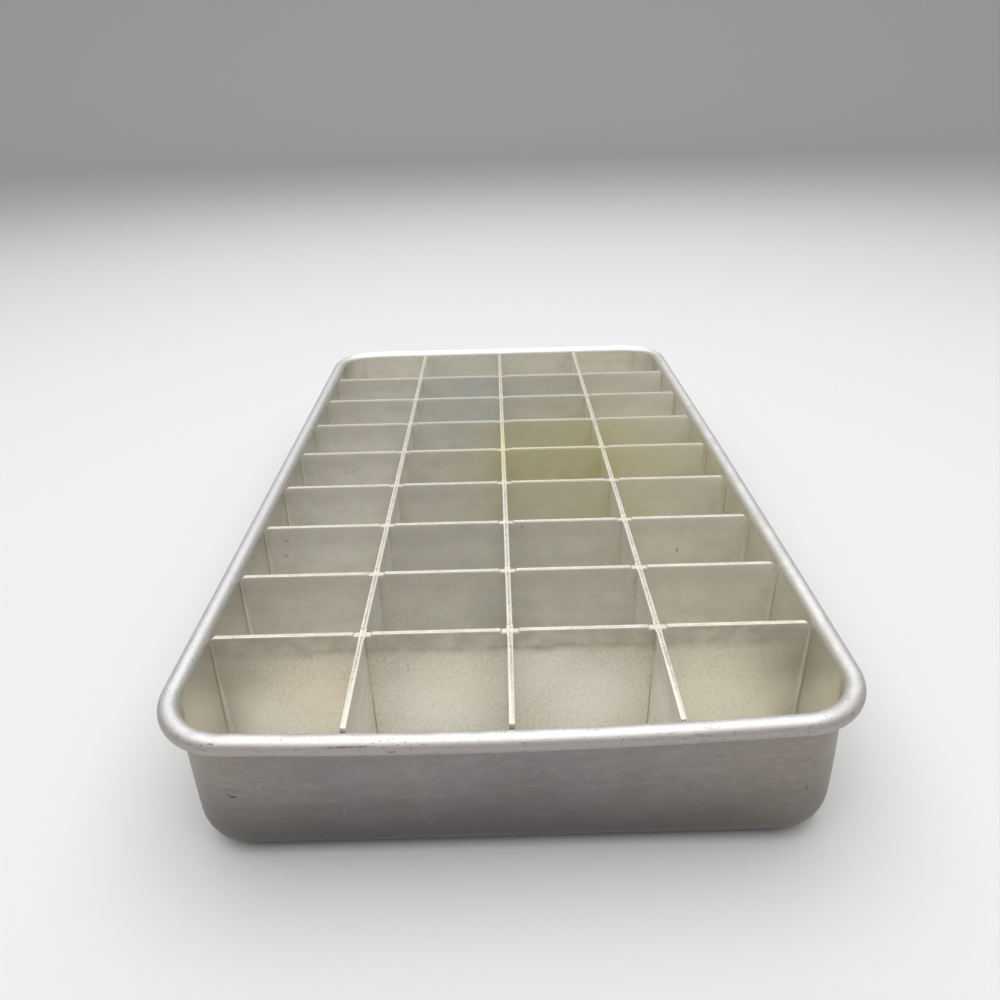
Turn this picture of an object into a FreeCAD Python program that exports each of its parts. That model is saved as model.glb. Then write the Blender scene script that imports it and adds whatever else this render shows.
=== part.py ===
"""Aluminium ice cube tray: a seamless drawn pan with a rolled bead, and a loose grid of divider strips.

The long strips are slotted from the top and the cross strips from the bottom, so they halve over
each other, and each crossing is staked from above with a plus-shaped punch. The grid stands on the
pan's floor and lifts straight out.

Frame: millimetres, +Z up, +X along the cross strips, +Y along the long strips.
Origin: centre of the pan's underside.
"""
import FreeCAD, Part
import math
import os

Vector = FreeCAD.Vector
UP = Vector(0, 0, 1)
ORIGIN = Vector(0, 0, 0)
same_place = 0.001              # two places closer than this are one

# ---------------------------------------------------------------- driving sizes
# Cells
column_count = 4
row_count = 9
column_pitch = 46.6             # from one long strip to the next
row_pitch = 34.9                # from one cross strip to the next
side_reach = 47.8               # from an outer long strip to the ends of the cross strips
end_reach = 42.15               # from an outer cross strip to the ends of the long strips

# Divider strips
strip_thickness = 1.6
strip_top_radius = 1.5          # upper corners of every strip
strip_foot_ease = 1.0           # lower corners: this much larger than the pan's inner bottom radius
slot_clearance = 0.2            # each side of a strip in its slot

# Stakes: plus-shaped punch marks that lock the crossings
stake_span = 5.2                # length of each bar of the plus
stake_depth = 0.4               # how far the punch pushes the top edges down
stake_height = 0.9              # how far down the bulge that it leaves fades out

# Pan
pan_height = 51.0
sheet = 1.0                     # thickness of the drawn sheet
draft_angle = 1.0               # of the walls, in degrees
bottom_radius = 12.0            # outside, between the walls and the floor
floor_corner_radius = 6.4       # in plan, of the flat part of the floor
bead_diameter = 6.0             # over the curled rim
curl_gap = 0.3                  # between the curled edge and the wall

# Fits between the grid and the pan
grid_below_rim = 2.0            # from the top of the bead down to the strips' top edges
cross_end_clearance = 1.1       # at each end of a cross strip
long_end_clearance = 1.2        # at each end of a long strip

# ---------------------------------------------------------------- derived sizes
draft = math.radians(draft_angle)
bead_radius = bead_diameter / 2
bead_height = pan_height - bead_radius                      # of the bead's centre
half_thickness = strip_thickness / 2
slot_width = strip_thickness + 2 * slot_clearance
grid_top = pan_height - grid_below_rim
grid_foot = sheet
half_lap = (grid_top + grid_foot) / 2
foot_radius = bottom_radius - sheet + strip_foot_ease

long_positions = [column_pitch * (n - column_count / 2) for n in range(1, column_count)]
cross_positions = [row_pitch * (n - row_count / 2) for n in range(1, row_count)]

# Half sizes of the grid and of the bead's centre line, at the height of the bead's centre
cross_half_length = long_positions[-1] + side_reach
long_half_length = cross_positions[-1] + end_reach
bead_inset = bead_radius / math.cos(draft)                  # from the bead's centre to the inner wall
bead_half_width = cross_half_length + cross_end_clearance + bead_inset
bead_half_length = long_half_length + long_end_clearance + bead_inset

# The bottom fillet's centre, inwards of the bead's centre, and the corner's axis in plan
fillet_rise = bead_height - bottom_radius
fillet_inset = (bead_radius + bottom_radius - sheet + fillet_rise * math.sin(draft)) / math.cos(draft)
corner_radius = fillet_inset + floor_corner_radius          # in plan, of the bead's centre line


# ---------------------------------------------------------------- pan
def polar(centre, radius, angle):
    """A point of the section plane XZ, at an angle from +X towards +Z."""
    return centre + Vector(radius * math.cos(angle), 0, radius * math.sin(angle))


def arc(centre, radius, start, end):
    middle = (start + end) / 2
    points = [polar(centre, radius, angle) for angle in (start, middle, end)]
    return Part.Arc(*points).toShape()


def wall_section():
    """Floor, bottom fillet, drafted wall and outward curl as one face, with the corner's axis at x = 0."""
    bead = Vector(corner_radius, 0, bead_height)
    fillet = Vector(corner_radius - fillet_inset, 0, bottom_radius)
    wall_side = math.pi - draft                             # from the bead's centre to the inner wall
    foot_side = -draft                                      # from the fillet's centre to the wall
    down = -math.pi / 2
    reach = (bead_radius - sheet - curl_gap) / bead_radius
    curl_end = -draft - math.acos(-reach)

    curl_outside = arc(bead, bead_radius, wall_side, curl_end)
    curl_inside = arc(bead, bead_radius - sheet, wall_side, curl_end)
    foot_inside = arc(fillet, bottom_radius - sheet, down, foot_side)
    foot_outside = arc(fillet, bottom_radius, down, foot_side)
    edges = [
        curl_outside,
        curl_inside,
        foot_inside,
        foot_outside,
        Part.makeLine(polar(bead, bead_radius, curl_end), polar(bead, bead_radius - sheet, curl_end)),
        Part.makeLine(polar(bead, bead_radius, wall_side), polar(fillet, bottom_radius - sheet, foot_side)),
        Part.makeLine(polar(bead, bead_radius - sheet, wall_side), polar(fillet, bottom_radius, foot_side)),
        Part.makeLine(polar(fillet, bottom_radius - sheet, down), Vector(0, 0, sheet)),
        Part.makeLine(polar(fillet, bottom_radius, down), ORIGIN),
        Part.makeLine(Vector(0, 0, sheet), ORIGIN),
    ]
    outline = Part.Wire(Part.__sortEdges__(edges))
    return Part.Face(outline)


def tray_pan():
    """Four revolved corners, four straight walls between them, and the middle of the floor."""
    axis_x = bead_half_width - corner_radius
    axis_y = bead_half_length - corner_radius
    corners = [(axis_x, axis_y), (-axis_x, axis_y), (-axis_x, -axis_y), (axis_x, -axis_y)]
    pieces = []
    for index, (x, y) in enumerate(corners):
        axis = Vector(x, y, 0)
        previous = Vector(*corners[index - 1], 0)
        section = wall_section()
        section.rotate(ORIGIN, UP, 90 * index)
        section.translate(axis)
        pieces.append(section.revolve(axis, UP, 90))
        pieces.append(section.extrude(previous - axis))
    floor = Part.makeBox(2 * axis_x, 2 * axis_y, sheet, Vector(-axis_x, -axis_y, 0))
    return floor.multiFuse(pieces).removeSplitter()


# ---------------------------------------------------------------- divider strips
def end_at(half_length, height):
    """Half length of a strip at a height: its ends follow the pan's drafted walls."""
    return half_length - (bead_height - height) * math.tan(draft)


def edges_across(strip, height):
    """The edges that run through the strip's thickness at a height."""
    return [edge for edge in strip.Edges
            if abs(edge.CenterOfMass.y) < same_place and abs(edge.CenterOfMass.z - height) < same_place]


def strip_blank(half_length):
    """A flat strip along X with upper and lower corners rounded."""
    top = end_at(half_length, grid_top)
    foot = end_at(half_length, grid_foot)
    corners = [
        Vector(-foot, -half_thickness, grid_foot),
        Vector(foot, -half_thickness, grid_foot),
        Vector(top, -half_thickness, grid_top),
        Vector(-top, -half_thickness, grid_top),
    ]
    outline = Part.makePolygon(corners + corners[:1])
    blank = Part.Face(outline).extrude(Vector(0, strip_thickness, 0))
    blank = blank.makeFillet(foot_radius, edges_across(blank, grid_foot))
    return blank.makeFillet(strip_top_radius, edges_across(blank, grid_top))


def block(x_centre, length, width, bottom, top):
    corner = Vector(x_centre - length / 2, -width / 2, bottom)
    return Part.makeBox(length, width, top - bottom, corner)


def bulge(x_centre, side):
    """The metal that a stake pushes out of a cross strip's side, until it fills the slot it stands in.

    It is full at the stake's floor and faded out at stake_height below. side is -1 or 1.
    """
    start = x_centre - stake_span / 2
    face = side * half_thickness
    floor = grid_top - stake_depth
    profile = [
        Vector(start, face, floor),
        Vector(start, side * slot_width / 2, floor),
        Vector(start, face, floor - stake_height),
    ]
    outline = Part.makePolygon(profile + profile[:1])
    return Part.Face(outline).extrude(Vector(stake_span, 0, 0))


def stake_cut(x_centre):
    return block(x_centre, stake_span, 2 * strip_thickness, grid_top - stake_depth, pan_height)


def cross_divider():
    """A strip along X, slotted from below, whose top edge runs through every crossing."""
    cuts = []
    bulges = []
    for x in long_positions:
        cuts.append(block(x, slot_width, 2 * strip_thickness, 0, half_lap))
        cuts.append(stake_cut(x))
        bulges += [bulge(x, -1), bulge(x, 1)]
    return strip_blank(cross_half_length).cut(cuts).multiFuse(bulges).removeSplitter()


def long_divider():
    """A strip along Y, slotted from above, with the other bar of each plus-shaped stake."""
    cuts = []
    for x in cross_positions:
        cuts.append(block(x, slot_width, 2 * strip_thickness, half_lap, pan_height))
        cuts.append(stake_cut(x))
    strip = strip_blank(long_half_length).cut(cuts).removeSplitter()
    strip.rotate(ORIGIN, UP, 90)
    return strip


# ---------------------------------------------------------------- assembly
def assembly():
    nodes = {"tray_pan": tray_pan()}
    long_strip = long_divider()
    for number, x in enumerate(long_positions, start=1):
        nodes[f"long_divider_{number}"] = long_strip.translated(Vector(x, 0, 0))
    cross_strip = cross_divider()
    for number, y in enumerate(cross_positions, start=1):
        nodes[f"cross_divider_{number}"] = cross_strip.translated(Vector(0, y, 0))
    return nodes


os.makedirs("parts", exist_ok=True)
for node, shape in assembly().items():
    shape.exportStep(f"parts/{node}.step")
    print(node, len(shape.Solids), "solid", shape.isValid(), round(shape.Volume, 1), "mm3")
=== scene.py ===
"""Looks of the aluminium ice cube tray: a drawn pan with a rolled bead, and a staked grid of strips.

Metres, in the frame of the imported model: +Z up, +X along the cross strips, +Y along the long strips.
"""

import math

import bmesh
import bpy
from mathutils import Matrix, Vector


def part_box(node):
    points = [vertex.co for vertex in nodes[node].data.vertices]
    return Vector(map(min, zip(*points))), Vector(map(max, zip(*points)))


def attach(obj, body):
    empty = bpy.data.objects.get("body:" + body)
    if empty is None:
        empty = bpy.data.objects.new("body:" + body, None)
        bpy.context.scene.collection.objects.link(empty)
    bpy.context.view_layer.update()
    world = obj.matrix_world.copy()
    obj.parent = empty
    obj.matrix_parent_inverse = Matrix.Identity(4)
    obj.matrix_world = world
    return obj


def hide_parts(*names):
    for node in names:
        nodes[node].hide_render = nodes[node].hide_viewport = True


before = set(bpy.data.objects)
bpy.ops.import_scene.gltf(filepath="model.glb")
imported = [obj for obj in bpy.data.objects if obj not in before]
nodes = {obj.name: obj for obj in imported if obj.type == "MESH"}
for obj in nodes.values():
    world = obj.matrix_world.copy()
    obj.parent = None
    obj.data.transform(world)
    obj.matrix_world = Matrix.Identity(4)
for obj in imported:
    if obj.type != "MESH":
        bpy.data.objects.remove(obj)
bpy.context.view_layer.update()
MM = 0.001
TINY = 1e-6                         # metres: two places closer than this are one

# ---------------------------------------------------------------- real sizes that the boxes don't give
BEAD_RADIUS = 3.0 * MM
SHEET = 1.0 * MM
DRAFT = math.radians(1.0)
BOTTOM_RADIUS = 12.0 * MM           # outside, between the walls and the floor
FLOOR_CORNER_RADIUS = 6.4 * MM      # in plan, of the flat part of the floor
CURL_GAP = 0.3 * MM
STAKE_SPAN = 5.2 * MM
STAKE_DEPTH = 0.4 * MM
STAKE_HEIGHT = 0.9 * MM
STRIP_SWELL = 0.2 * MM              # how far a stake pushes a long strip's sides out
EDGE_EASE = 0.14 * MM               # of the strips' edges

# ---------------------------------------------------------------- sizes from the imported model
pan_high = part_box("tray_pan")[1]
bead_half_width = pan_high.x - BEAD_RADIUS
bead_half_length = pan_high.y - BEAD_RADIUS
bead_height = pan_high.z - BEAD_RADIUS
fillet_rise = bead_height - BOTTOM_RADIUS
fillet_inset = (BEAD_RADIUS + BOTTOM_RADIUS - SHEET + fillet_rise * math.sin(DRAFT)) / math.cos(DRAFT)
corner_radius = fillet_inset + FLOOR_CORNER_RADIUS

long_names = sorted(name for name in nodes if name.startswith("long_divider"))
cross_names = sorted(name for name in nodes if name.startswith("cross_divider"))


def middle(name, axis):
    low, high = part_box(name)
    return (low[axis] + high[axis]) / 2


long_places = [middle(name, 0) for name in long_names]
cross_places = [middle(name, 1) for name in cross_names]
grid_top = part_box(long_names[0])[1].z


# ---------------------------------------------------------------- camera, floor and light
PITCH, YAW, ROLL = (math.radians(a) for a in (27.75, 0.02, 1.55))
CAMERA_PLACE = Vector((-1.95, -326.6, 202.8)) * MM
LENS = 28.8                         # millimetres, on a sensor 36 mm wide
SWEEP_HALF = 2.5                    # the floor: half its width and how far it reaches to the front
SWEEP_BACK = 2.2                    # where it starts to curve up
SWEEP_BEND = 0.8                    # radius of that curve
SWEEP_TOP = 3.0
SWEEP_STEPS = 16
WORLD_LIGHT = 0.47


def add_camera():
    forward = Vector((-math.sin(YAW) * math.cos(PITCH), math.cos(YAW) * math.cos(PITCH), -math.sin(PITCH)))
    right = Vector((math.cos(YAW), math.sin(YAW), 0))
    down = forward.cross(right)
    across = math.cos(ROLL) * right + math.sin(ROLL) * down
    below = math.cos(ROLL) * down - math.sin(ROLL) * right
    camera = bpy.data.objects.new("camera", bpy.data.cameras.new("camera"))
    camera.data.sensor_width = 36
    camera.data.lens = LENS
    camera.data.clip_start = 0.01
    turn = Matrix((across, -below, -forward)).transposed().to_4x4()
    camera.matrix_world = Matrix.Translation(CAMERA_PLACE) @ turn
    bpy.context.scene.collection.objects.link(camera)
    bpy.context.scene.camera = camera


def add_lamp(name, place, target, size, power):
    lamp = bpy.data.lights.new(name, "AREA")
    lamp.shape = "RECTANGLE"
    lamp.size, lamp.size_y = size
    lamp.energy = power
    carrier = bpy.data.objects.new(name, lamp)
    carrier.location = place
    carrier.rotation_euler = (Vector(target) - Vector(place)).to_track_quat("-Z", "Y").to_euler()
    bpy.context.scene.collection.objects.link(carrier)


# ---------------------------------------------------------------- materials
TURN = "turn"                       # name of the pan's point values: degrees round the bead

# Painted light on the front strip's face: (place, radius, tone). Pale painted pools of light, with painted
# shade at the upper corners
FRONT_LIGHT_POOLS = [
    ((-62, -123, 26), 30, (1.00, 0.92, 0.77)),
    ((-24, -123, 22), 28, (1.00, 0.99, 0.95)),
    ((-17, -123, 32), 22, (1.00, 0.95, 0.86)),
    ((28, -123, 22), 28, (1.00, 0.99, 0.95)),
    ((10, -123, 34), 22, (1.00, 0.99, 0.96)),
    ((68, -123, 28), 36, (1.00, 0.96, 0.84)),
    ((-95, -123, 34), 20, (0.70, 0.67, 0.59)),
    ((-84, -123, 21), 14, (0.94, 0.91, 0.82)),
    ((94, -123, 36), 18, (0.70, 0.66, 0.55)),
    ((86, -123, 20), 12, (0.96, 0.93, 0.82)),
]

# Small stains and a nick on the third cross strip's face: (place, half size, strength)
FACE_MARKS = [
    ((68.3, -53.1, 34.2), (0.35, 1, 1.3), 0.7),
    ((6.3, -53.1, 46.6), (0.5, 1, 0.8), 0.5),
    ((-86.7, -53.1, 43.2), (1.1, 1, 0.8), 0.3),
    ((-88.1, -53.1, 36.3), (1.0, 1, 0.8), 0.35),
]

# Single marks on the front wall: (place, half size, tone), and on the bead: (place, half size)
WALL_MARKS = [
    ((-79.2, -166.1, 26.4), (1.3, 2, 0.45), 0.06),
    ((-80.4, -166.1, 27.1), (0.8, 2, 0.3), 0.09),
    ((-80.6, -166.1, 28.8), (0.4, 2, 0.3), 0.13),
    ((82.7, -166.1, 23.0), (0.35, 2, 1.5), 0.06),
    ((-48.5, -165.9, 20.0), (0.45, 2, 0.35), 0.34),
    ((-51.0, -165.9, 20.8), (0.4, 2, 0.25), 0.32),
    ((-26.0, -164.0, 5.5), (0.8, 3, 0.5), 0.40),
    ((-17.0, -164.0, 5.5), (0.8, 3, 0.5), 0.40),
]
BEAD_MARKS = [
    ((-61.5, -171.2, 46.2), (6.5, 1.5, 0.25)),
    ((-44.0, -171.2, 49.0), (8.0, 1, 0.3)),
    ((-32.5, -171.4, 47.4), (1.5, 1, 0.3)),
    ((-21.4, -171.5, 46.3), (2.5, 1, 0.25)),
    ((-79.9, -170.3, 50.3), (1.4, 1, 0.3)),
    ((-90.0, -167.0, 50.1), (0.7, 1, 0.4)),
]
RING_NICK = (78.8, -169.1, 49.05)   # a curved nick on the bead


class Finish:
    """A Principled material, with short calls for the nodes that vary it. Lengths are in millimetres."""

    def __init__(self, name, metallic=0.0):
        self.material = bpy.data.materials.new(name)
        self.material.use_nodes = True
        self.tree = self.material.node_tree
        self.shader = self.tree.nodes["Principled BSDF"]
        self.shader.inputs["Metallic"].default_value = metallic
        place = self.node("ShaderNodeTexCoord").outputs["Object"]
        self.place = self.vector("SCALE", place, scale=1000)
        split = self.node("ShaderNodeSeparateXYZ", {0: self.place})
        self.x, self.y, self.z = split.outputs

    def node(self, kind, inputs=None, **settings):
        made = self.tree.nodes.new(kind)
        for key, value in settings.items():
            setattr(made, key, value)
        for key, value in (inputs or {}).items():
            if isinstance(value, bpy.types.NodeSocket):
                self.tree.links.new(value, made.inputs[key])
            else:
                made.inputs[key].default_value = value
        return made

    def vector(self, operation, a, b=(0, 0, 0), c=(0, 0, 0), scale=1.0):
        made = self.node("ShaderNodeVectorMath", {0: a, 1: b, 2: c, 3: scale}, operation=operation)
        return made.outputs["Value" if operation in ("DISTANCE", "LENGTH") else "Vector"]

    def math(self, operation, a, b=0.0):
        return self.node("ShaderNodeMath", {0: a, 1: b}, operation=operation).outputs[0]

    def times(self, a, b):
        return self.math("MULTIPLY", a, b)

    def grains(self, size, stretch, shift):
        """The place in units of a grain size that is stretched along the axes, moved by a shift."""
        return self.vector("MULTIPLY_ADD", self.place, [1 / (size * s) for s in stretch], shift)

    def noise(self, size, stretch=(1, 1, 1), detail=3.0, rough=0.55, shift=0.0):
        """Noise of about this grain size."""
        place = self.grains(size, stretch, (shift, shift * 0.7, -shift))
        inputs = {"Vector": place, "Scale": 1.0, "Detail": detail, "Roughness": rough}
        return self.node("ShaderNodeTexNoise", inputs).outputs["Fac"]

    def cells(self, size, stretch=(1, 1, 1), shift=0.0):
        """Distance from the nearest of many scattered points, in units of the grain size."""
        place = self.grains(size, stretch, (shift, shift, shift))
        return self.node("ShaderNodeTexVoronoi", {"Vector": place, "Scale": 1.0}).outputs["Distance"]

    def ramp(self, value, low, high, to_low=0.0, to_high=1.0):
        """Smooth step from to_low, where value is low, to to_high, where it is high."""
        inputs = {"Value": value, "From Min": low, "From Max": high, "To Min": to_low, "To Max": to_high}
        return self.node("ShaderNodeMapRange", inputs, interpolation_type="SMOOTHSTEP").outputs["Result"]

    def spot(self, centre, radius):
        """1 at a place, fading to 0 at the radius."""
        return self.ramp(self.vector("DISTANCE", self.place, centre), 0, radius, 1, 0)

    def mark(self, centre, reach):
        """1 in a small ellipsoid round a place, with soft edges."""
        away = self.vector("SUBTRACT", self.place, centre)
        away = self.vector("MULTIPLY", away, [1 / size for size in reach])
        return self.ramp(self.vector("LENGTH", away), 1.2, 0.6)

    def to_nearest(self, axis):
        """Distance along X or Y from the nearest strip that crosses it."""
        first, second, *_, last = (long_places, cross_places)[axis]
        pitch = (second - first) / MM
        place = (self.x, self.y)[axis]
        inputs = {0: self.math("SUBTRACT", place, last / MM), 1: pitch / 2, 2: -pitch / 2}
        wrapped = self.math("ABSOLUTE", self.node("ShaderNodeMath", inputs, operation="WRAP").outputs[0])
        beyond = self.math("SUBTRACT", self.math("ABSOLUTE", place), last / MM)
        return self.math("MAXIMUM", wrapped, beyond)

    def blend(self, below, above, factor):
        """One colour over another. Each is a socket or a plain colour."""
        pair = [(*colour, 1) if isinstance(colour, tuple) else colour for colour in (below, above)]
        return self.node("ShaderNodeMix", {0: factor, 6: pair[0], 7: pair[1]}, data_type="RGBA").outputs[2]

    def bump(self, height, depth, below=None):
        """Relief of a depth in millimetres, over the relief below it."""
        inputs = {"Height": height, "Distance": depth * MM, "Strength": 1.0}
        if below:
            inputs["Normal"] = below
        return self.node("ShaderNodeBump", inputs).outputs["Normal"]

    def finish(self, colour, roughness, normal, metallic=None):
        sockets = {"Base Color": colour, "Roughness": roughness, "Normal": normal, "Metallic": metallic}
        for key, value in sockets.items():
            if value is not None:
                self.tree.links.new(value, self.shader.inputs[key])
        return self.material


def divider_metal():
    """Oxidised sheet: a dull band along the top, pale mineral bloom below it, brown and yellow tints, and
    painted pools of light with painted shade at the upper corners on the front strip's face.
    """
    f = Finish("divider_metal", metallic=0.75)
    patch = f.noise(17, detail=3, shift=3)
    cloud = f.noise(7, detail=4, shift=11)
    fine = f.noise(1.4, (1.6, 1.6, 1), detail=4, rough=0.6, shift=9)
    salt = f.noise(0.8, detail=4, rough=0.7, shift=5)
    grain = f.noise(0.5, (1, 1, 5), detail=3, shift=2)
    smear = f.noise(6, (2, 2, 1), detail=3, shift=17)
    place = f.noise(20, (1, 1, 3), detail=3, shift=40)
    tint = f.noise(8, (1, 1, 1.6), detail=3, shift=61)
    front = f.times(f.ramp(f.y, -116, -121), f.ramp(f.y, -127, -124))      # 1 on the front strip only
    wavy = f.noise(9, (1, 1, 3), detail=5, shift=6)
    level = f.math("ADD", f.z, f.times(wavy, 5))                            # height, with wavy lines

    # Oxide: warmer to the right, cooler in the middle and at the back, cloudy and finely grained
    colour = f.blend((0.85, 0.84, 0.79), (0.93, 0.90, 0.80), f.ramp(f.x, -20, 80))
    left = f.times(f.ramp(f.x, -35, -65), f.ramp(f.y, -110, -40))
    colour = f.blend(colour, (0.96, 0.95, 0.91), left)
    colour = f.blend(colour, (0.83, 0.87, 0.855), f.spot((-14, 80, 35), 95))
    colour = f.blend(colour, (0.73, 0.75, 0.71), f.times(f.spot((0, -75, 35), 65), 0.65))
    colour = f.blend(colour, (0.94, 0.92, 0.86), f.ramp(patch, 0.35, 0.7, 0, 0.8))
    colour = f.blend(colour, (0.71, 0.68, 0.61), f.ramp(level, 38, 48.5, 0, 0.5))
    colour = f.blend(colour, (0.66, 0.63, 0.56), f.ramp(smear, 0.42, 0.75, 0, 0.35))
    colour = f.blend(colour, (0.62, 0.60, 0.54), f.ramp(grain, 0.40, 0.75, 0, 0.2))
    colour = f.blend(colour, (0.86, 0.78, 0.74), f.ramp(tint, 0.52, 0.72, 0, 0.35))
    colour = f.blend(colour, (0.76, 0.80, 0.70), f.ramp(tint, 0.48, 0.28, 0, 0.35))
    colour = f.blend(colour, (0.98, 0.97, 0.93), f.ramp(salt, 0.45, 0.75, 0, 0.4))

    # The face of the front strip: darker towards the top, partly duller oxide and partly painted shade;
    # painted pools of light in patches; and its grain with pale bloom flecks
    # Darker towards the top: partly duller oxide, partly painted shade
    darker_upwards = f.times(front, f.ramp(f.z, 22, 34, 0.25, 0.7))
    colour = f.blend(colour, (0.71, 0.68, 0.61), darker_upwards)
    # Painted pools of light, and painted shade at the upper corners
    for centre, radius, tone in FRONT_LIGHT_POOLS:
        colour = f.blend(colour, tone, f.times(front, f.spot(centre, radius)))
    grainy = f.times(front, f.ramp(cloud, 0.30, 0.62, 0.35, 1))
    grainy = f.times(grainy, f.ramp(f.x, -92, -70, 0.35, 1))
    grainy = f.times(grainy, f.ramp(f.x, 92, 78, 0.35, 1))
    colour = f.blend(colour, (1.00, 0.97, 0.90), f.times(grainy, f.ramp(salt, 0.46, 0.68, 0, 0.75)))
    colour = f.blend(colour, (0.58, 0.53, 0.45), f.times(grainy, f.ramp(salt, 0.54, 0.30, 0, 0.45)))

    # The band along the top: dull, rusty in places, with a broken dark tide line
    dull = f.times(front, f.ramp(level, 41, 46, 0, 0.6))
    colour = f.blend(colour, (0.60, 0.57, 0.50), f.times(dull, f.ramp(cloud, 0.25, 0.60, 0.4, 1)))
    rust = f.times(f.ramp(cloud, 0.36, 0.70), f.ramp(level, 42, 46))
    rust = f.times(rust, f.ramp(front, 0, 1, 0.15, 0.7))
    colour = f.blend(colour, (0.56, 0.49, 0.42), f.times(rust, f.ramp(salt, 0.30, 0.62)))
    tide = f.times(f.ramp(level, 43.4, 44.8), f.ramp(level, 46.4, 45.2))
    tide = f.times(f.times(tide, front), f.ramp(salt, 0.40, 0.60, 0.1, 0.5))
    tide = f.times(tide, f.ramp(place, 0.34, 0.50))
    tide = f.times(tide, f.ramp(f.math("ABSOLUTE", f.x), 68, 56))
    colour = f.blend(colour, (0.46, 0.40, 0.34), tide)

    # A yellow stain over the middle cells, small marks, and pale burrs at the stakes
    colour = f.blend(colour, (0.86, 0.83, 0.64), f.spot((48, 22, 38), 85))
    yellow = f.times(f.spot((20, 10, 44), 60), f.ramp(cloud, 0.2, 0.6))
    colour = f.blend(colour, (0.78, 0.75, 0.53), yellow)
    for centre, reach, strength in FACE_MARKS:
        colour = f.blend(colour, (0.24, 0.22, 0.18), f.times(f.mark(centre, reach), strength))
    burr = f.times(f.ramp(f.to_nearest(0), 3.3, 2.6), f.ramp(f.to_nearest(1), 3.3, 2.6))
    burr = f.times(burr, f.ramp(f.z, 47.5, 48.3))
    colour = f.blend(colour, (0.96, 0.94, 0.84), f.times(burr, f.ramp(cloud, 0.3, 0.6, 0.4, 1)))
    roughness = f.ramp(fine, 0.3, 0.7, 0.48, 0.60)
    normal = f.bump(salt, 0.02, f.bump(grain, 0.004))
    return f.finish(colour, roughness, normal)


def edge_metal(name, along, groove, dim):
    """Sheared edges of the strips along an axis: two worn pale lips with a pitted line between them,
    painted shade as dark lines at the stakes' recess ends, pale ends below the top as painted light, and
    painted shade at the long strips' front tips. groove is how dark the line is, and dim how much darker
    the far half is.
    """
    f = Finish(name, metallic=0.4)
    to_strip, to_stake = (f.to_nearest(axis) for axis in (1 - along, along))
    wander = f.times(f.math("SUBTRACT", f.noise(4, detail=2, shift=29), 0.5), 0.5)
    core = f.ramp(f.math("ABSOLUTE", f.math("ADD", to_strip, wander)), 0.46, 0.16)
    core = f.times(core, f.ramp(f.y, -158, -138, 0.2, 1))
    # Painted shade: dark lines at the steps that end the stakes' recesses
    stake_step_shade = f.math("SUBTRACT", to_stake, STAKE_SPAN / MM / 2 + 0.2)
    stake_step_shade = f.ramp(f.math("ABSOLUTE", stake_step_shade), 0.4, 0.15)
    stretch = [1, 1, 1]
    stretch[along] = 2.5
    fine = f.noise(0.35, stretch, detail=4, rough=0.7)
    patch = f.noise(7, detail=4, shift=5)
    pit = f.noise(0.45, stretch, detail=2, shift=8)
    colour = f.blend((0.60, 0.575, 0.495), (0.69, 0.665, 0.59), f.ramp(patch, 0.35, 0.65))
    colour = f.blend(colour, (0.42, 0.41, 0.345), f.ramp(f.y, -60, 60, 0, dim))
    worn = f.times(core, f.ramp(f.noise(1.6, stretch, detail=2, shift=33), 0.38, 0.56, 0.3, 1))
    colour = f.blend(colour, (0.42, 0.40, 0.34), f.times(worn, groove))
    dots = f.times(core, f.ramp(pit, 0.46, 0.60, 0, 0.3 + 0.7 * groove))
    colour = f.blend(colour, (0.22, 0.20, 0.17), dots)
    colour = f.blend(colour, (0.44, 0.41, 0.35), f.ramp(fine, 0.56, 0.72, 0, 0.5))
    colour = f.blend(colour, (0.30, 0.28, 0.24), f.times(stake_step_shade, f.ramp(patch, 0.35, 0.6, 0, 0.6)))
    colour = f.blend(colour, (0.66, 0.57, 0.28), f.times(f.spot((10, 20, 49), 55), 0.6))
    # Painted light: the strips' ends below the top edge are pale, as if lit inside the narrow gaps at the
    # pan's walls
    colour = f.blend(colour, (0.90, 0.88, 0.82), f.ramp(f.z, 47.6, 47.0))
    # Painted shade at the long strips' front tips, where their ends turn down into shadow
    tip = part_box(long_names[0])[0].y / MM
    colour = f.blend(colour, (0.30, 0.29, 0.28), f.ramp(f.y, tip + 0.9, tip + 0.4))
    roughness = f.ramp(fine, 0.3, 0.7, 0.42, 0.62)
    return f.finish(colour, roughness, f.bump(fine, 0.05, f.bump(core, -0.06)))


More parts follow.
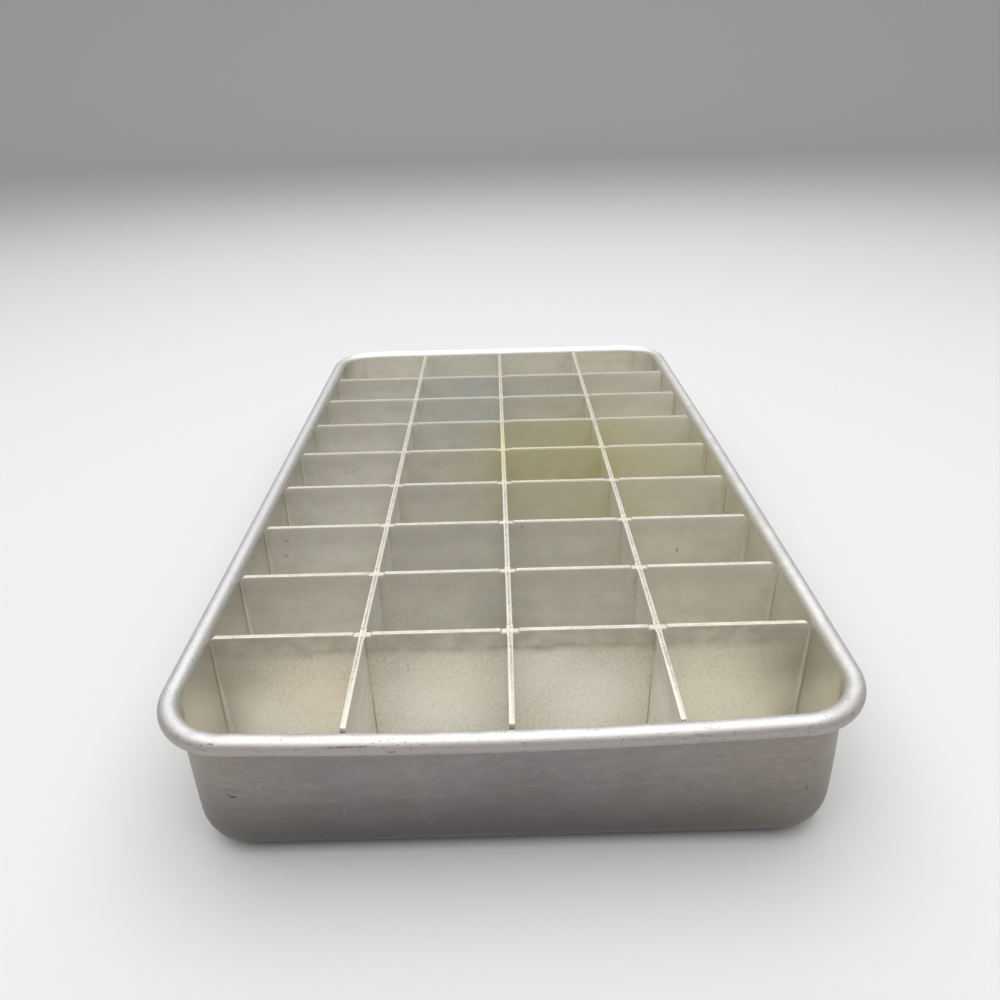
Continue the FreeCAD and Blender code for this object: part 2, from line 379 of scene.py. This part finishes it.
def inside_metal():
    """The pan's inside, oxidised like the dividers, with horizontal drawing marks and small scuffs, and
    painted light on a paler back wall and a paler floor in the front cell. Its floor is duller than its
    walls.
    """
    f = Finish("inside_metal")
    grain = f.noise(0.8, (40, 40, 1), detail=3)
    patch = f.noise(18, detail=3, shift=7)
    fine = f.noise(4, (1.5, 1.5, 1), detail=2, shift=2)
    scuff = f.times(f.ramp(f.noise(7, detail=1, shift=14), 0.58, 0.66), f.ramp(f.cells(2.2), 0.28, 0.14))
    colour = f.blend((0.78, 0.77, 0.73), (0.77, 0.745, 0.64), f.ramp(f.x, -60, 80))
    colour = f.blend(colour, (0.86, 0.84, 0.77), f.ramp(patch, 0.35, 0.7))
    # Painted light: the back wall paler, as if lit more strongly
    colour = f.blend(colour, (0.96, 0.945, 0.90), f.ramp(f.y, 150, 170))
    colour = f.blend(colour, (0.70, 0.67, 0.58), f.ramp(fine, 0.4, 0.75, 0, 0.3))
    colour = f.blend(colour, (0.64, 0.62, 0.54), f.ramp(grain, 0.4, 0.75, 0, 0.25))
    left = f.times(f.ramp(f.x, -90, -97), f.ramp(f.z, 32, 47))
    colour = f.blend(colour, (0.52, 0.51, 0.45), f.times(left, 0.75))
    colour = f.blend(colour, (0.97, 0.96, 0.92), f.times(scuff, 0.8))
    flank = f.times(f.ramp(f.math("ABSOLUTE", f.x), 82, 92), f.ramp(f.y, -100, -130, 0, 0.5))
    colour = f.blend(colour, (0.60, 0.58, 0.515), flank)
    floor = f.ramp(f.z, 13, 4)
    # Painted light: the floor in the front cell paler, to throw more light onto the front strip's lower
    # face
    bottom = f.blend((0.62, 0.605, 0.55), (0.78, 0.765, 0.72), f.ramp(f.y, -112, -130))
    colour = f.blend(colour, bottom, f.times(floor, f.ramp(patch, 0.3, 0.7, 0.75, 1)))
    roughness = f.math("ADD", f.ramp(fine, 0.3, 0.7, 0.13, 0.17), f.times(floor, 0.36))
    return f.finish(colour, roughness, f.bump(grain, 0.002), f.ramp(floor, 0, 1, 0.8, 0.2))


def outside_metal():
    """The pan's outside: satin, faintly brushed along the walls, mauve and olive in patches, darker
    towards the bottom as painted shade and a painted reflection of a dark floor.
    """
    f = Finish("outside_metal", metallic=0.95)
    grain = f.noise(0.35, (30, 30, 1), detail=4, rough=0.6)
    streak = f.noise(1.6, (16, 16, 1), detail=4, shift=13)
    patch = f.noise(22, (1.4, 1.4, 1), detail=4, shift=4)
    tint = f.noise(26, detail=3, shift=31)
    stain = f.noise(5, (2, 2, 1), detail=4, shift=12)
    speck = f.times(f.ramp(f.noise(14, shift=3), 0.52, 0.62), f.ramp(f.cells(4.1, shift=8), 0.08, 0.03))
    pit = f.times(f.ramp(f.noise(17, shift=23), 0.5, 0.6), f.ramp(f.cells(3.7, shift=2), 0.10, 0.05))
    scratch = f.cells(21, (0.5, 0.5, 0.08), shift=5)
    side = f.math("ABSOLUTE", f.math("ADD", f.x, 12))
    mottle = f.noise(2.2, (1.5, 1.5, 1), detail=4, rough=0.65, shift=37)
    colour = f.blend((0.255, 0.235, 0.236), (0.30, 0.282, 0.275), f.ramp(patch, 0.35, 0.7))
    colour = f.blend(colour, (0.235, 0.195, 0.18), f.ramp(tint, 0.5, 0.75, 0, 0.55))
    colour = f.blend(colour, (0.265, 0.262, 0.275), f.ramp(tint, 0.5, 0.28, 0, 0.7))
    colour = f.blend(colour, (0.28, 0.254, 0.20), f.ramp(side, 30, 95, 0, 0.85))
    colour = f.blend(colour, (0.35, 0.31, 0.285), f.ramp(mottle, 0.5, 0.68, 0, 0.35))
    colour = f.blend(colour, (0.20, 0.205, 0.195), f.ramp(mottle, 0.5, 0.32, 0, 0.35))
    colour = f.blend(colour, (0.36, 0.345, 0.335), f.ramp(streak, 0.48, 0.75, 0, 0.4))
    colour = f.blend(colour, (0.19, 0.178, 0.172), f.ramp(streak, 0.45, 0.25, 0, 0.4))
    colour = f.blend(colour, (0.34, 0.32, 0.29), f.ramp(stain, 0.58, 0.74, 0, 0.4))
    # Painted shade and a painted reflection of a dark floor: the walls darker towards the bottom, less at
    # the corners
    low = f.times(f.ramp(f.z, 36, 8, 0, 0.75), f.ramp(side, 105, 70, 0.6, 1))
    colour = f.blend(colour, (0.12, 0.112, 0.11), low)
    colour = f.blend(colour, (0.62, 0.61, 0.60), f.times(speck, 0.45))
    colour = f.blend(colour, (0.09, 0.08, 0.075), f.times(pit, 0.6))
    colour = f.blend(colour, (0.05, 0.04, 0.04), f.ramp(scratch, 0.05, 0.03, 0, 0.9))
    for centre, reach, tone in WALL_MARKS:
        colour = f.blend(colour, (tone, tone * 0.9, tone * 0.86), f.times(f.mark(centre, reach), 0.8))
    roughness = f.ramp(streak, 0.3, 0.7, 0.34, 0.46)
    return f.finish(colour, roughness, f.bump(grain, 0.015))


def bead_metal():
    """The rolled bead: worn pale and grainy on top, a painted highlight along the back, pinkish grey and
    darker outwards as a painted reflection of a dark floor, painted shade underneath, with pits, nicks and
    grime.
    """
    f = Finish("bead_metal", metallic=0.85)
    turn = f.node("ShaderNodeAttribute", attribute_name=TURN).outputs["Fac"]
    patch = f.noise(8, detail=4, shift=1)
    fine = f.noise(0.55, detail=3, rough=0.65, shift=6)
    pit = f.times(f.ramp(f.noise(9, shift=44), 0.45, 0.6), f.ramp(f.cells(1.3, shift=3), 0.2, 0.08))
    grime = f.noise(0.6, (9, 9, 1), detail=4, rough=0.6, shift=21)
    place = f.noise(14, detail=3, shift=51)
    turn = f.math("ADD", turn, f.times(f.math("SUBTRACT", patch, 0.5), 40))
    colour = f.blend((0.60, 0.59, 0.58), (0.70, 0.69, 0.68), f.ramp(patch, 0.35, 0.65))
    colour = f.blend(colour, (0.66, 0.64, 0.56), f.ramp(turn, 75, 30))
    # Painted highlight: the back of the bead nearly white
    colour = f.blend(colour, (0.97, 0.96, 0.94), f.ramp(f.y, 155, 170))
    colour = f.blend(colour, (0.64, 0.65, 0.66), f.ramp(f.x, -91, -98, 0, 0.8))
    flank = f.times(f.ramp(f.x, -90, -97), f.ramp(turn, 70, 45))
    colour = f.blend(colour, (0.60, 0.59, 0.56), flank)
    # Painted reflection of a dark floor: pinkish grey and darker on the outer side; painted shade under
    # the curl
    colour = f.blend(colour, (0.42, 0.39, 0.38), f.ramp(turn, 105, 155, 0, 0.95))
    colour = f.blend(colour, (0.22, 0.19, 0.18), f.ramp(turn, 200, 235, 0, 0.9))
    worn = f.times(f.ramp(fine, 0.52, 0.30), f.ramp(f.x, -88, -98, 0.5, 0.8))
    colour = f.blend(colour, (0.44, 0.42, 0.41), worn)
    outer = f.times(f.ramp(turn, 112, 140), f.ramp(place, 0.44, 0.56))
    colour = f.blend(colour, (0.15, 0.12, 0.11), f.times(outer, f.ramp(grime, 0.58, 0.68, 0, 0.6)))
    colour = f.blend(colour, (0.10, 0.09, 0.085), f.times(pit, 0.8))
    for centre, reach in BEAD_MARKS:
        mark = f.times(f.mark(centre, reach), f.ramp(fine, 0.36, 0.56, 0.1, 0.75))
        colour = f.blend(colour, (0.15, 0.11, 0.10), mark)
    away = f.math("SUBTRACT", f.vector("DISTANCE", f.place, RING_NICK), 1.1)
    ring = f.times(f.ramp(f.math("ABSOLUTE", away), 0.45, 0.1), f.ramp(f.x, 79.6, 78.6))
    colour = f.blend(colour, (0.26, 0.24, 0.23), f.times(ring, f.ramp(fine, 0.36, 0.56, 0.1, 0.6)))
    roughness = f.ramp(fine, 0.3, 0.7, 0.46, 0.62)
    return f.finish(colour, roughness, f.bump(pit, -0.05, f.bump(fine, 0.05)))


def floor_paper():
    """Pale paper, as flat and plain as a studio's floor."""
    f = Finish("floor_paper")
    tooth = f.noise(3, detail=3)
    colour = f.blend((0.61, 0.61, 0.61), (0.63, 0.63, 0.63), tooth)
    return f.finish(colour, f.ramp(tooth, 0, 1, 0.8, 0.9), f.bump(tooth, 0.05))


# ---------------------------------------------------------------- mesh helpers
def new_piece(name, mesh, body, slot, *replaced):
    piece = bpy.data.objects.new(name, mesh)
    bpy.context.scene.collection.objects.link(piece)
    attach(piece, body)
    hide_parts(*replaced)
    return piece


def smooth_step(value):
    value = min(max(value, 0.0), 1.0)
    return value * value * (3 - 2 * value)


def arc(centre, radius, start, end, steps):
    """Points (outward, up) along an arc, both ends included."""
    angles = [start + (end - start) * n / steps for n in range(steps + 1)]
    return [(centre[0] + radius * math.cos(a), centre[1] + radius * math.sin(a)) for a in angles]


def run(start, end, steps):
    """Points between two points, without either."""
    share = [n / steps for n in range(1, steps)]
    return [(start[0] + (end[0] - start[0]) * s, start[1] + (end[1] - start[1]) * s) for s in share]


# ---------------------------------------------------------------- pan
CORNER_STEPS = 24
WALL_STEPS = 12
FOOT_STEPS = 12
CURL_OUTSIDE_STEPS = 44
CURL_INSIDE_STEPS = 24
STATION_STEP = 6 * MM               # along the straight walls
SHARP_ANGLE = math.radians(50)
INSIDE, BEAD, OUTSIDE = range(3)    # the finishes' places in the mesh


def pan_section():
    """The sheet's section: points (outward from the bead's centre line, height), the finish of each step
    and each point's turn round the bead, in degrees from its inmost line over its top.
    """
    bead = (0, bead_height)
    fillet = (-fillet_inset, BOTTOM_RADIUS)
    wall_side, foot_side, down = math.pi - DRAFT, -DRAFT, -math.pi / 2
    reach = (BEAD_RADIUS - SHEET - CURL_GAP) / BEAD_RADIUS
    curl_end = -DRAFT - math.acos(-reach)
    foot_inside = arc(fillet, BOTTOM_RADIUS - SHEET, down, foot_side, FOOT_STEPS)
    curl_outside = arc(bead, BEAD_RADIUS, wall_side, curl_end, CURL_OUTSIDE_STEPS)
    curl_inside = arc(bead, BEAD_RADIUS - SHEET, curl_end, wall_side, CURL_INSIDE_STEPS)
    foot_outside = arc(fillet, BOTTOM_RADIUS, foot_side, down, FOOT_STEPS)
    wall_inside = run(foot_inside[-1], curl_outside[0], WALL_STEPS)
    wall_outside = run(curl_inside[-1], foot_outside[0], WALL_STEPS)
    parts = [
        (foot_inside + wall_inside, INSIDE),
        (curl_outside, BEAD),
        (curl_inside + wall_outside + foot_outside, OUTSIDE),
    ]
    points = [point for part, _ in parts for point in part]
    finishes = [finish for part, finish in parts for _ in part]
    around = [math.degrees(math.atan2(up - bead[1], -out)) % 360 for out, up in curl_outside]
    turns = [0] * len(parts[0][0]) + around + [0] * len(parts[2][0])
    return points, finishes, turns


# The rim isn't quite straight: how far each corner stands inwards, and how far each side bows out and sags
# between them
CORNER_SHIFT = {(1, -1): (-0.4, 2.2), (1, 1): (-0.8, 0), (-1, 1): (0.3, 0), (-1, -1): (0.5, 0.5)}
SIDE_BOW = {(0, -1): 1.15, (1, 0): 0.55, (0, 1): 0, (-1, 0): 0}
SIDE_SAG = {(0, -1): 1.05}


def rim_shift(corner, following, share, outward):
    """How far the rim lies from its straight course, at a share of the way to the following corner."""
    signs = [tuple(int(math.copysign(1, value)) for value in place) for place in (corner, following)]
    here, there = (Vector((*CORNER_SHIFT[sign], 0)) for sign in signs)
    side = round(outward.x), round(outward.y)
    belly = 4 * share * (1 - share)
    bend = SIDE_BOW.get(side, 0) * outward - Vector((0, 0, SIDE_SAG.get(side, 0)))
    return (here.lerp(there, share) + bend * belly) * MM


def pan_path():
    """Stations round the pan: (core point in plan, outward direction, shift of the rim)."""
    half_x = bead_half_width - corner_radius
    half_y = bead_half_length - corner_radius
    corners = [(half_x, -half_y), (half_x, half_y), (-half_x, half_y), (-half_x, -half_y)]
    stations = []
    for index, corner in enumerate(corners):
        start = math.pi / 2 * (index - 1)
        for n in range(CORNER_STEPS + 1):
            angle = start + math.pi / 2 * n / CORNER_STEPS
            outward = Vector((math.cos(angle), math.sin(angle), 0))
            stations.append((Vector((*corner, 0)), outward, rim_shift(corner, corner, 0, outward)))
        following = corners[(index + 1) % 4]
        here, there = Vector((*corner, 0)), Vector((*following, 0))
        steps = round((there - here).length / STATION_STEP)
        for n in range(1, steps):
            shift = rim_shift(corner, following, n / steps, outward)
            stations.append((here.lerp(there, n / steps), outward, shift))
    return stations


def pan_mesh():
    points, finishes, turns = pan_section()
    stations = pan_path()
    mesh = bmesh.new()
    layer = mesh.verts.layers.float.new(TURN)
    rings = []
    for (out, up), turn in zip(points, turns):
        ring = []
        rise = smooth_step((up - BOTTOM_RADIUS) / (bead_height - BOTTOM_RADIUS))
        for core, outward, shift in stations:
            place = core + outward * (corner_radius + out) + Vector((0, 0, up)) + shift * rise
            ring.append(mesh.verts.new(place))
            ring[-1][layer] = turn
        rings.append(ring)
    count = len(stations)
    for lower, upper, finish in zip(rings, rings[1:], finishes):
        for n in range(count):
            quad = (lower[n], lower[(n + 1) % count], upper[(n + 1) % count], upper[n])
            mesh.faces.new(quad).material_index = finish
    mesh.faces.new(rings[0]).material_index = INSIDE
    mesh.faces.new(rings[-1]).material_index = OUTSIDE
    bmesh.ops.recalc_face_normals(mesh, faces=mesh.faces)
    for face in mesh.faces:
        face.smooth = True
    made = bpy.data.meshes.new("pan_shell")
    mesh.to_mesh(made)
    mesh.free()
    made.set_sharp_from_angle(angle=SHARP_ANGLE)
    return made


# ---------------------------------------------------------------- strips
RAMP = 0.5 * MM                     # how far the ends of a stake's recess slope back
BULGE_STEPS = 3                     # rows of faces over a stake's height
FLAT_ANGLE = math.radians(1)        # faces that meet at less are joined
EASED_ANGLE = math.radians(35)      # edges sharper than this are eased
FACE, EDGE = range(2)               # the finishes' places in the mesh
LONG_BENDS = (0.5 * MM, -0.4 * MM, -0.6 * MM)      # of the free front ends, to the right


def cut(mesh, axis, place):
    """New edges where a plane across an axis meets the mesh."""
    point, normal = Vector((0, 0, 0)), Vector((0, 0, 0))
    point[axis], normal[axis] = place, 1
    everything = mesh.verts[:] + mesh.edges[:] + mesh.faces[:]
    bmesh.ops.bisect_plane(mesh, geom=everything, dist=TINY, plane_co=point, plane_no=normal)


def strip_mesh(name, along, crossings):
    """The node's own shape, cut finer at the stakes, where the sides swell and the recess ends slope."""
    across = 1 - along
    centre = middle(name, across)
    floor = grid_top - STAKE_DEPTH
    mesh = bmesh.new()
    mesh.from_mesh(nodes[name].data)
    bmesh.ops.remove_doubles(mesh, verts=mesh.verts, dist=TINY)
    bmesh.ops.dissolve_limit(mesh, angle_limit=FLAT_ANGLE, verts=mesh.verts, edges=mesh.edges)
    for crossing in crossings:
        for side in (-1, 1):
            cut(mesh, along, crossing + side * STAKE_SPAN / 2)
    for step in range(BULGE_STEPS + 1):
        cut(mesh, 2, floor - STAKE_HEIGHT * step / BULGE_STEPS)
    for vert in mesh.verts:
        nearest = min(crossings, key=lambda crossing: abs(crossing - vert.co[along]))
        away = vert.co[along] - nearest
        if abs(away) > STAKE_SPAN / 2 + TINY:
            continue
        if vert.co.z > floor + TINY:
            vert.co[along] += math.copysign(RAMP, away)
        elif along == 1 and abs(away) > STRIP_SWELL:
            fade = max(0, 1 - (floor - vert.co.z) / STAKE_HEIGHT)
            vert.co[across] += math.copysign(STRIP_SWELL * fade, vert.co[across] - centre)
    mesh.normal_update()
    for face in mesh.faces:
        face.material_index = FACE if abs(face.normal[across]) > 0.5 else EDGE
        face.smooth = True
    made = bpy.data.meshes.new(name)
    mesh.to_mesh(made)
    mesh.free()
    return made


def bend_front_end(mesh, reach):
    """Bends a long strip's free front end sideways, by reach at its tip."""
    start, tip = cross_places[0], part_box(long_names[0])[0].y
    for vert in mesh.vertices:
        share = max(0, (vert.co.y - start) / (tip - start))
        vert.co.x += reach * share ** 2


def add_strip(name, along, crossings, finishes, bend=0.0):
    mesh = strip_mesh(name, along, crossings)
    bend_front_end(mesh, bend)
    for finish in finishes:
        mesh.materials.append(finish)
    piece = new_piece(name.replace("divider", "strip"), mesh, "grid", "divider_aluminium", name)
    bevel = piece.modifiers.new("soft_edges", "BEVEL")
    bevel.width = EDGE_EASE
    bevel.segments = 2
    bevel.limit_method = "ANGLE"
    bevel.angle_limit = EASED_ANGLE
    bevel.harden_normals = True


# ---------------------------------------------------------------- assembly
def add_pan(finishes):
    mesh = pan_mesh()
    for finish in finishes:
        mesh.materials.append(finish)
    new_piece("pan_shell", mesh, "tray", "pan_aluminium", "tray_pan")


def add_floor():
    """A pale sweep: flat under the tray and curved up behind it."""
    curve = arc((SWEEP_BACK, SWEEP_BEND), SWEEP_BEND, -math.pi / 2, 0, SWEEP_STEPS)
    profile = [(-SWEEP_HALF, 0), *curve, (SWEEP_BACK + SWEEP_BEND, SWEEP_TOP)]
    mesh = bmesh.new()
    rows = [[mesh.verts.new((x, y, z)) for x in (-SWEEP_HALF, SWEEP_HALF)] for y, z in profile]
    for lower, upper in zip(rows, rows[1:]):
        mesh.faces.new((lower[0], lower[1], upper[1], upper[0])).smooth = True
    made = bpy.data.meshes.new("floor")
    mesh.to_mesh(made)
    mesh.free()
    made.materials.append(floor_paper())
    floor = bpy.data.objects.new("floor", made)
    bpy.context.scene.collection.objects.link(floor)


def add_light():
    add_lamp("key", place=(0, -0.2, 1.1), target=(0, 0, 0), size=(1.7, 1.4), power=16.5)
    add_lamp("back", place=(0, 0.75, 0.95), target=(0, 0.1, 0), size=(1.4, 0.8), power=4.5)
    world = bpy.data.worlds.new("world")
    bpy.context.scene.world = world
    world.use_nodes = True
    background = world.node_tree.nodes["Background"]
    background.inputs["Color"].default_value = (1, 1, 1, 1)
    background.inputs["Strength"].default_value = WORLD_LIGHT
    bpy.context.scene.view_settings.view_transform = "Standard"


add_camera()
add_light()
add_floor()
add_pan([inside_metal(), bead_metal(), outside_metal()])
side_finish = divider_metal()
long_finishes = [side_finish, edge_metal("long_edge_metal", 1, 0.75, 0.25)]
cross_finishes = [side_finish, edge_metal("cross_edge_metal", 0, 0.1, 0.65)]
for strip_name, bend in zip(long_names, LONG_BENDS):
    add_strip(strip_name, 1, cross_places, long_finishes, bend)
for strip_name in cross_names:
    add_strip(strip_name, 0, long_places, cross_finishes)
